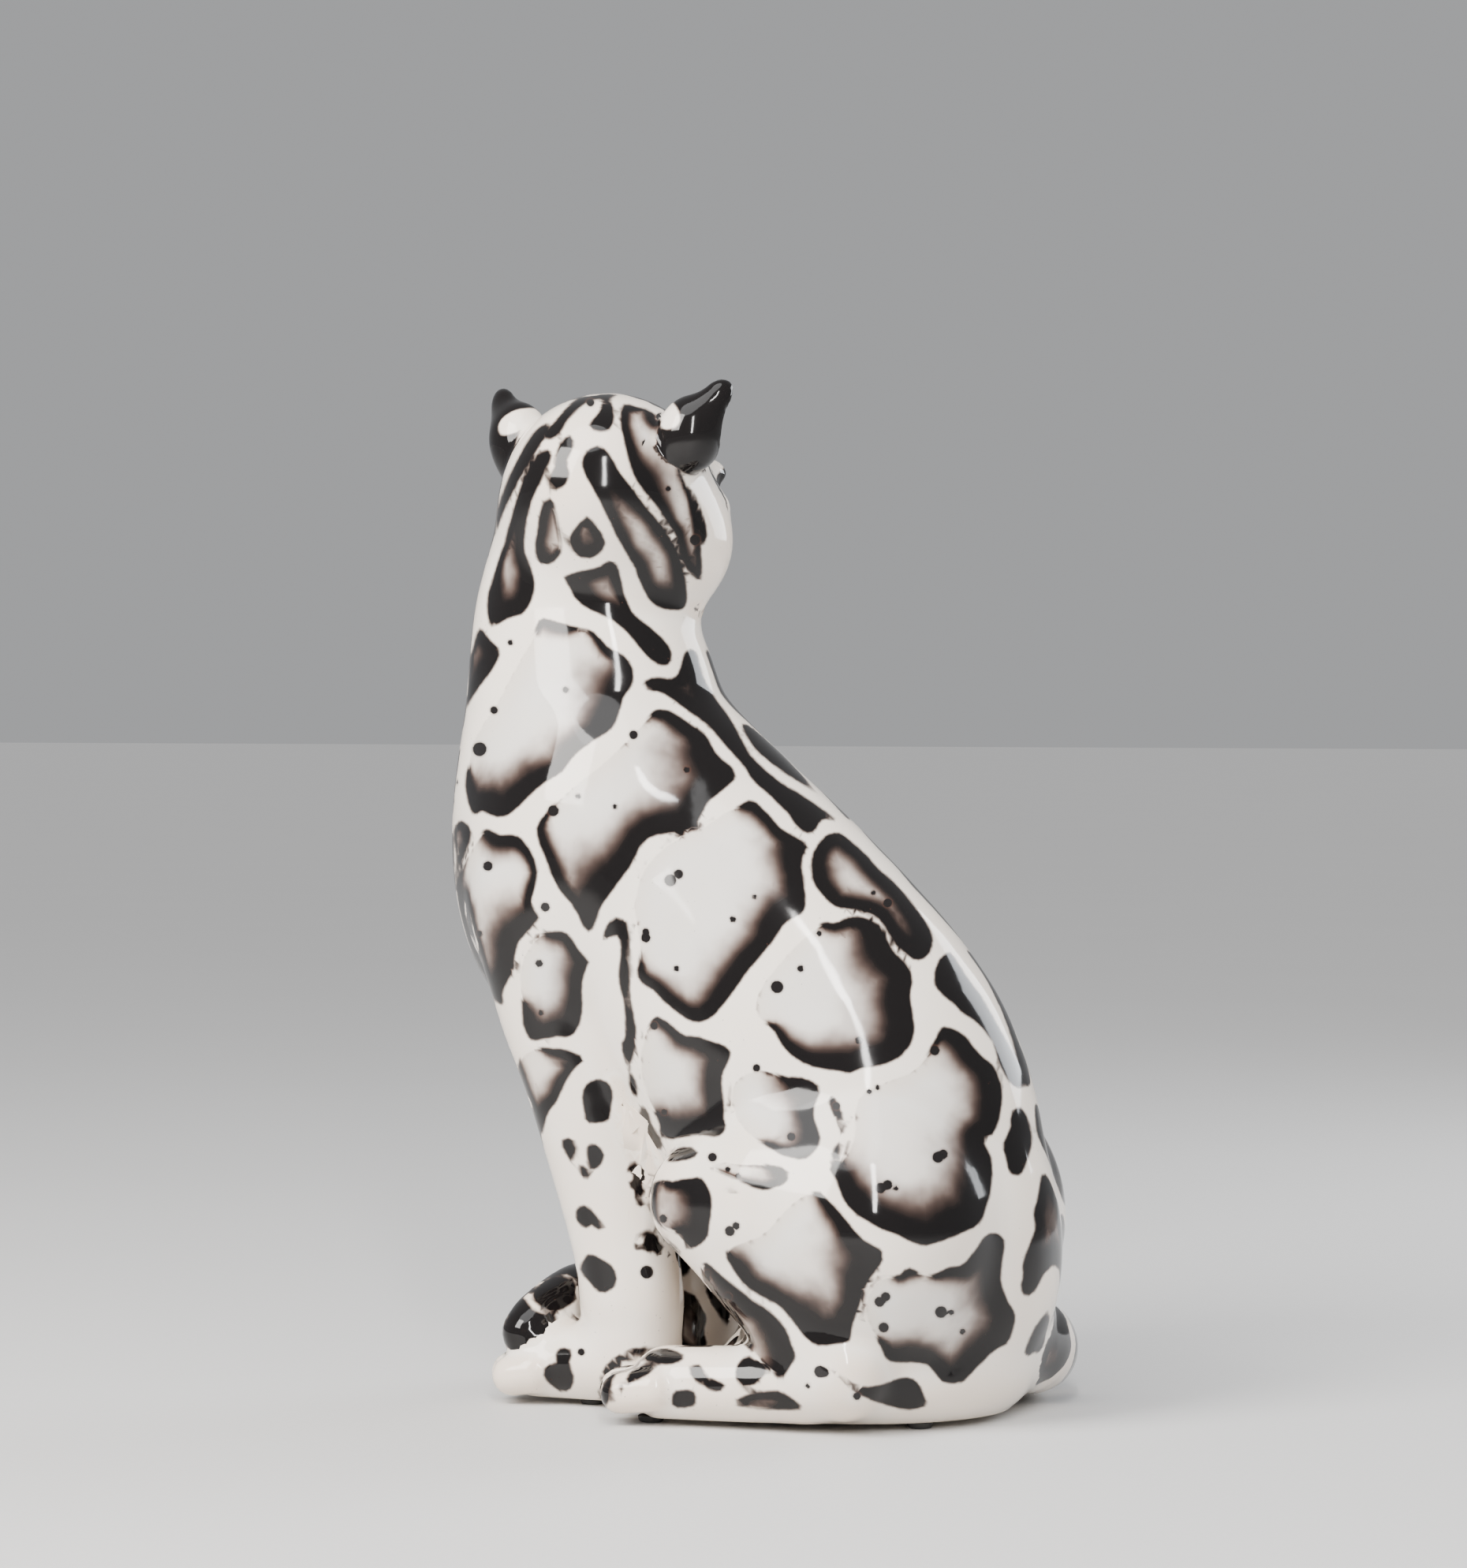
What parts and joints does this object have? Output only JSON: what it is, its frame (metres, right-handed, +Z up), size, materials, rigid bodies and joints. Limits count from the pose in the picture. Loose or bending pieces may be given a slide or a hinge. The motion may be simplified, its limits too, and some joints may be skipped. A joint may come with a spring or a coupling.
{
  "type": "television lamp",
  "caption": "Television lamp: hollow glazed figure of a seated spotted leopard looking back over its shoulder, with glass eyes and a lampholder and bulb inside.",
  "frame": {"origin": "middle of the footprint, on the surface that the lamp stands on", "axes": "+Z up; -Y the way the seated body faces; +X the figure's left side, away from the tail"},
  "size_m": [0.2388, 0.312, 0.4957],
  "materials": {
    "glaze": "hard glossy glaze over slip-cast ceramic: cream ground with cloud-shaped blotches edged in brown-black",
    "eye_glass": "dark polished glass",
    "plaster": "dry plaster",
    "rubber": "matt",
    "zinc_plate": "zinc plated, satin",
    "steel": "plated, bright",
    "brass": "spun brass, satin",
    "card": "pressed card",
    "porcelain": "unglazed white porcelain",
    "black_glass": "moulded black glass",
    "bulb_glass": "inside-frosted",
    "clear_glass": "clear",
    "wire": "drawn tungsten"
  },
  "bodies": {
    "lamp": {"ceramic_figure": "glaze", "eye_left": "eye_glass", "eye_right": "eye_glass", "eye_ring_left": "plaster", "eye_ring_right": "plaster", "pad_paw_left": "rubber", "pad_paw_right": "rubber", "pad_front_left": "rubber", "pad_front_right": "rubber", "pad_rear_left": "rubber", "pad_rear_right": "rubber", "cord_grommet": "rubber", "base_gasket": "rubber", "base_plate": "zinc_plate", "base_washer": "steel", "base_nut": "steel", "crossbar": "zinc_plate", "crossbar_washer": "steel", "crossbar_nut": "steel", "lamp_pipe": "steel", "socket_lock_nut": "steel", "socket_cap": "brass", "socket_shell": "brass", "socket_liner": "card", "socket_core": "porcelain", "screw_shell": "brass", "centre_contact": "brass", "terminal_live": "brass", "terminal_neutral": "brass"},
    "bulb": {"bulb_contact": "brass", "bulb_insulator": "black_glass", "bulb_cap": "brass", "bulb_glass": "bulb_glass", "bulb_stem": "clear_glass", "bulb_filament": "wire"}
  },
  "joints": [
    {"name": "bulb_turn", "type": "hinge", "parent": "lamp", "child": "bulb", "pos_m": [0.01748, 0.05637, 0.09], "axis": [0, 0, 1], "range_deg": [0, 1080]}
  ]
}
